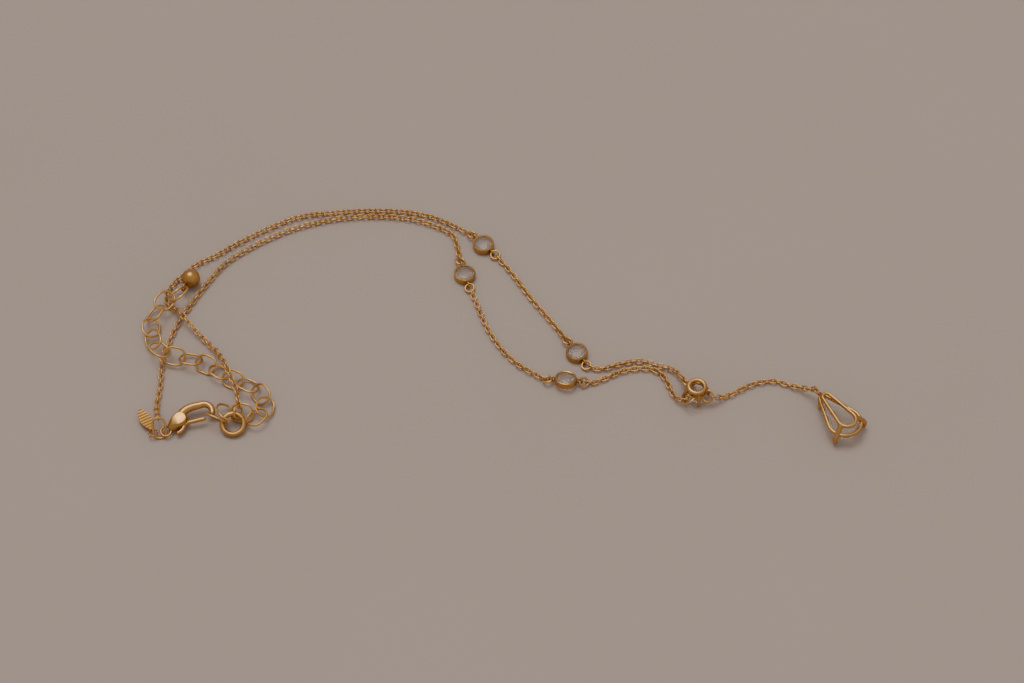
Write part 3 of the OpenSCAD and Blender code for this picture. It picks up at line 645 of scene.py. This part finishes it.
fitting_gold = plated_gold("polished_gold_plated_fitting", "#D2A05E", "#B58446", 0.26, 2.2, 0.25, 0.014)
bulb = lathe(BULB, 48, (1, 0, 0))
for side in (-1, 1):
    cuts = bmesh.ops.bisect_plane(bulb, geom=list(bulb.verts) + list(bulb.edges) + list(bulb.faces),
                                  plane_co=(0, 0, side * CLASP_T / 2), plane_no=(0, 0, side),
                                  clear_outer=True)
    bmesh.ops.edgeloop_fill(bulb, edges=[g for g in cuts["geom_cut"] if isinstance(g, bmesh.types.BMEdge)])
soften(bulb, 0.12, 35)
bulb.transform(put((0, 0, 0), BULB_TURN))
slot_h = TONGUE_T + 2 * SLOT_PLAY
body = cut(bulb, [
    disc(TONGUE_D + 2 * SLOT_PLAY, slot_h, (*PIN_AT, 0)),
    block((PIN_AT[0], -4, -slot_h / 2), (PIN_AT[0] + 3, 0.4, slot_h / 2)),
    block((PIN_AT[0] - 1.9, -4, -slot_h / 2), (PIN_AT[0] + 0.1, PIN_AT[1], slot_h / 2))])
hook = [(HOOK_AT[0] + HOOK_BEND * math.cos(math.radians(turn)),
         HOOK_AT[1] + HOOK_BEND * math.sin(math.radians(turn)), 0) for turn in HOOK_TURNS]
rod(body, ARM + hook, ARM_WIRES, (0, 0, 1), 30, 18, Matrix())
wire_loop(body, circle_path(EYE_OF_CLASP_D, 32), EYE_OF_CLASP_WIRE, 12, Matrix())
join(body, disc(PIN_D, CLASP_T - PIN_SHORT, (*PIN_AT, 0)))
body.transform(CLASP_PLACE)
piece("clasp_body_cast", body, fitting_gold, "necklace", "clasp_body")


# Clasp lever: a cast brass gate with a thumb tab behind its pin, closed against the hook's end by a
# spring inside the bulb.
LEVER = [(1.7, -1.7, 0), (3.1, -1.45, 0), (4.5, -0.5, 0), (6.2, -0.85, 0), (8.7, -1.5, 0)]
LEVER_WIRE = 0.9
tongue = cut(disc(TONGUE_D, TONGUE_T, (*PIN_AT, 0)), [disc(PIN_D + PIN_PLAY, TONGUE_T + 1, (*PIN_AT, 0))])
soften(tongue, 0.05, 35)
rod(tongue, LEVER, (LEVER_WIRE, LEVER_WIRE), (0, 0, 1), 30, 16, Matrix())
tongue.transform(CLASP_PLACE)
piece("clasp_lever_cast", tongue, fitting_gold, "lever", "clasp_lever")


# Thick end ring and ball: bent and turned brass with the same heavier plating as the clasp, rubbed a
# little more by fingers than the rest.
plate(["end_ball", "end_ring"], fitting_gold)


# Tag: a leaf stamped from brass sheet with plain low ribs across it, plated, and pierced for its ring.
RIB_PITCH = 0.75
RIB_HEIGHT = 0.04
RIB_TURN = 122
tag_gold = plated_gold("polished_gold_plated_stamped_tag", "#CB9856", "#AC7C40", 0.3, 2.0, 0.25, 0.014)
tree = tag_gold.node_tree
shader = tree.nodes["Principled BSDF"]
place = add(tree, "ShaderNodeTexCoord")
across = add(tree, "ShaderNodeMapping", {"Rotation": (0.0, 0.0, math.radians(-RIB_TURN))})
ribs = add(tree, "ShaderNodeTexWave", {"Scale": math.tau / (20 * RIB_PITCH * MM), "Distortion": 0.0},
           wave_type="BANDS", bands_direction="X")
relief = add(tree, "ShaderNodeBump", {"Strength": 1.0, "Distance": RIB_HEIGHT * MM})
tree.links.new(place.outputs["Object"], across.inputs["Vector"])
tree.links.new(across.outputs["Vector"], ribs.inputs["Vector"])
tree.links.new(ribs.outputs["Fac"], relief.inputs["Height"])
tree.links.new(shader.inputs["Normal"].links[0].from_socket, relief.inputs["Normal"])
tree.links.new(relief.outputs["Normal"], shader.inputs["Normal"])
plate(["clasp_tag"], tag_gold)


# Surface: plain pale matt painted board, faintly uneven, much larger than the view. The necklace lies
# loose on it.
BOARD = "#B9A79B"
BOARD_PALE = "#BBA99D"
BOARD_DEEP = "#B7A599"
bm = bmesh.new()
bmesh.ops.create_grid(bm, x_segments=1, y_segments=1, size=1.5)
mesh = bpy.data.meshes.new("floor")
bm.to_mesh(mesh)
bm.free()
floor = bpy.data.objects.new("floor", mesh)
bpy.context.scene.collection.objects.link(floor)
board = bpy.data.materials.new("pale_matt_board")
board.use_nodes = True
tree = board.node_tree
shader = tree.nodes["Principled BSDF"]
shader.inputs["Roughness"].default_value = 0.75
shader.inputs["Base Color"].default_value = linear(BOARD)
place = add(tree, "ShaderNodeTexCoord")
patches = add(tree, "ShaderNodeTexNoise", {"Scale": 14.0, "Detail": 2.0})
grain = add(tree, "ShaderNodeTexNoise", {"Scale": 2500.0, "Detail": 4.0})
colour = add(tree, "ShaderNodeMix", data_type="RGBA")
colour.inputs[6].default_value = linear(BOARD_PALE)
colour.inputs[7].default_value = linear(BOARD_DEEP)
bump = add(tree, "ShaderNodeBump", {"Strength": 0.1, "Distance": 0.02 * MM})
tree.links.new(place.outputs["Object"], patches.inputs["Vector"])
tree.links.new(place.outputs["Object"], grain.inputs["Vector"])
tree.links.new(patches.outputs["Fac"], colour.inputs[0])
tree.links.new(colour.outputs[2], shader.inputs["Base Color"])
tree.links.new(grain.outputs["Fac"], bump.inputs["Height"])
tree.links.new(bump.outputs["Normal"], shader.inputs["Normal"])
mesh.materials.append(board)


# Light: a broad soft panel high over the far left, a larger weaker one from the near right, and a pale
# room all round, so that the shadows stay faint.
def area_light(name, place, size, spread, power, colour):
    """A square soft light that looks at the necklace's middle, its beam narrowed to an angle."""
    data = bpy.data.lights.new(name, "AREA")
    data.size = size
    data.spread = math.radians(spread)
    data.energy = power
    data.color = colour
    light = bpy.data.objects.new(name, data)
    light.location = place
    light.rotation_euler = (-Vector(place)).to_track_quat("-Z", "Y").to_euler()
    bpy.context.scene.collection.objects.link(light)


area_light("key_light", (-0.08, 0.16, 0.5), 0.7, 50, 0.55, (1.0, 0.985, 0.965))
area_light("fill_light", (0.5, -0.3, 0.8), 1.4, 180, 0.7, (1.0, 0.985, 0.96))
world = bpy.data.worlds.new("room")
world.use_nodes = True
world.node_tree.nodes["Background"].inputs["Color"].default_value = linear("#CCC7C4")
world.node_tree.nodes["Background"].inputs["Strength"].default_value = 0.7
bpy.context.scene.world = world


# Camera: a long lens from the near side, looking down at the photo's angle.
AIM = Vector((3.0, -4.4, 0)) * MM
ELEVATION = math.radians(53.5)
DISTANCE = 601.1 * MM
SENSOR = 36
LENS = 96.7
data = bpy.data.cameras.new("camera")
data.sensor_width = SENSOR
data.lens = LENS
data.clip_start = 0.01
camera = bpy.data.objects.new("camera", data)
camera.location = AIM + DISTANCE * Vector((0, -math.cos(ELEVATION), math.sin(ELEVATION)))
camera.rotation_euler = (AIM - camera.location).to_track_quat("-Z", "Y").to_euler()
bpy.context.scene.collection.objects.link(camera)
bpy.context.scene.camera = camera
